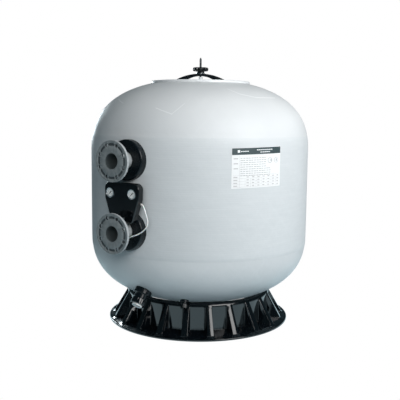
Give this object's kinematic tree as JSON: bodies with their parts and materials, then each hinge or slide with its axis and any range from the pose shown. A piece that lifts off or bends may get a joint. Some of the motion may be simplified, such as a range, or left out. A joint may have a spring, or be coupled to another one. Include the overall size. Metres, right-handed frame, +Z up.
{
  "type": "sand filter tank",
  "caption": "Round glass-fibre pool sand filter on a black ring base, with a yoke-closed top manhole, flanged front ports and a gauge panel between them.",
  "frame": {"origin": "middle of the footprint's bounding box, on the floor", "axes": "+Z up; the two ports face -Y; the vessel's axis stands 65 mm behind the origin, at y = +0.065"},
  "size_m": [1.2, 1.33, 1.4497],
  "materials": {
    "glass_fibre": "satin filament-wound glass fibre, light cool grey",
    "collar_moulding": "satin moulded glass fibre",
    "black_moulding": "satin injection-moulded black plastic",
    "gloss_black": "glossy black plastic",
    "grey_pvc": "matt grey PVC",
    "white_plastic": "semi-gloss white plastic",
    "rubber": "black EPDM",
    "stainless": "turned stainless steel",
    "brass": "turned brass",
    "chrome": "polished chrome bezel",
    "lens": "clear gauge glass",
    "label": null
  },
  "bodies": {
    "root": {"vessel_shell": "glass_fibre", "manhole_collar": "collar_moulding", "skirt": "gloss_black", "label_plate": "label", "inlet_pipe": "white_plastic", "outlet_pipe": "white_plastic", "diffuser_funnel": "white_plastic", "collector_hub": "white_plastic", "panel_cover": "gloss_black", "panel_back": "black_moulding", "panel_bracket": "black_moulding", "panel_screw": "stainless", "pressure_tube": "white_plastic", "tube_fitting_panel": "brass", "tube_fitting_tail": "brass", "sand_drain_body": "black_moulding", "sand_drain_gasket": "rubber", "sand_drain_nut": "black_moulding", "water_drain_body": "black_moulding", "lateral_1": "white_plastic", "lateral_2": "white_plastic", "lateral_3": "white_plastic", "lateral_4": "white_plastic", "lateral_5": "white_plastic", "lateral_6": "white_plastic", "lateral_7": "white_plastic", "lateral_8": "white_plastic", "upper_port_body": "black_moulding", "upper_port_gasket": "rubber", "upper_port_nut": "black_moulding", "upper_tail_pipe": "grey_pvc", "upper_flange": "grey_pvc", "lower_port_body": "black_moulding", "lower_port_gasket": "rubber", "lower_port_nut": "black_moulding", "lower_tail_pipe": "grey_pvc", "lower_flange": "grey_pvc", "gauge_case_left": "chrome", "gauge_dial_left": "white_plastic", "gauge_lens_left": "lens", "gauge_case_right": "chrome", "gauge_dial_right": "white_plastic", "gauge_lens_right": "lens"},
    "lid": {"manhole_lid": "glass_fibre", "lid_gasket": "rubber", "lid_rod": "stainless", "rod_nut": "stainless", "air_vent_body": "brass"},
    "vent_screw": {"air_vent_screw": "brass"},
    "yoke": {"lid_yoke": "black_moulding", "yoke_washer": "stainless"},
    "wheel": {"hand_wheel": "gloss_black", "wheel_bush": "brass"},
    "needle_left": {"gauge_needle_left": "black_moulding"},
    "needle_right": {"gauge_needle_right": "black_moulding"},
    "sand_plug": {"sand_drain_plug": "white_plastic"},
    "sand_ring": {"sand_drain_ring": "gloss_black"},
    "water_seal": {"water_drain_seal": "rubber"},
    "water_cap": {"water_drain_cap": "gloss_black"}
  },
  "joints": [
    {"name": "lid_drop", "type": "slide", "parent": "root", "child": "lid", "axis": [0, 0, -1], "range_m": [0, 0.0302]},
    {"name": "vent_turn", "type": "hinge", "parent": "lid", "child": "vent_screw", "pos_m": [-0.05449, 0.14282, 1.32], "axis": [0, 0, 1], "range_deg": [0, 540]},
    {"name": "yoke_swivel", "type": "hinge", "parent": "root", "child": "yoke", "pos_m": [0, 0.065, 1.36], "axis": [0, 0, 1], "range_deg": [-30, 30]},
    {"name": "wheel_turn", "type": "hinge", "parent": "yoke", "child": "wheel", "pos_m": [0, 0.065, 1.385], "axis": [0, 0, 1], "range_deg": [0, 3600]},
    {"name": "needle_left_turn", "type": "hinge", "parent": "root", "child": "needle_left", "pos_m": [-0.0635, -0.602, 0.757], "axis": [0, 1, 0], "range_deg": [0, 270]},
    {"name": "needle_right_turn", "type": "hinge", "parent": "root", "child": "needle_right", "pos_m": [0.0745, -0.602, 0.757], "axis": [0, 1, 0], "range_deg": [0, 270]},
    {"name": "sand_plug_out", "type": "slide", "parent": "root", "child": "sand_plug", "axis": [0, -0.6225, -0.7826], "range_m": [0, 0.0161]},
    {"name": "sand_ring_turn", "type": "hinge", "parent": "sand_plug", "child": "sand_ring", "pos_m": [0, -0.46646, 0.18413], "axis": [0, -0.6225, -0.7826], "range_deg": [0, 1440]},
    {"name": "water_seal_out", "type": "slide", "parent": "root", "child": "water_seal", "axis": [0.2014, -0.4241, -0.8829], "range_m": [0, 0.0151]},
    {"name": "water_cap_turn", "type": "hinge", "parent": "water_seal", "child": "water_cap", "pos_m": [0.18619, -0.32712, 0.1639], "axis": [0.2014, -0.4241, -0.8829], "range_deg": [0, 2160]}
  ],
  "couplings": [
    {"joint": "lid_drop", "follows": "wheel_turn", "m_per_rad": 0.00047746},
    {"joint": "sand_plug_out", "follows": "sand_ring_turn", "m_per_rad": 0.00063662},
    {"joint": "water_seal_out", "follows": "water_cap_turn", "m_per_rad": 0.00039789}
  ]
}
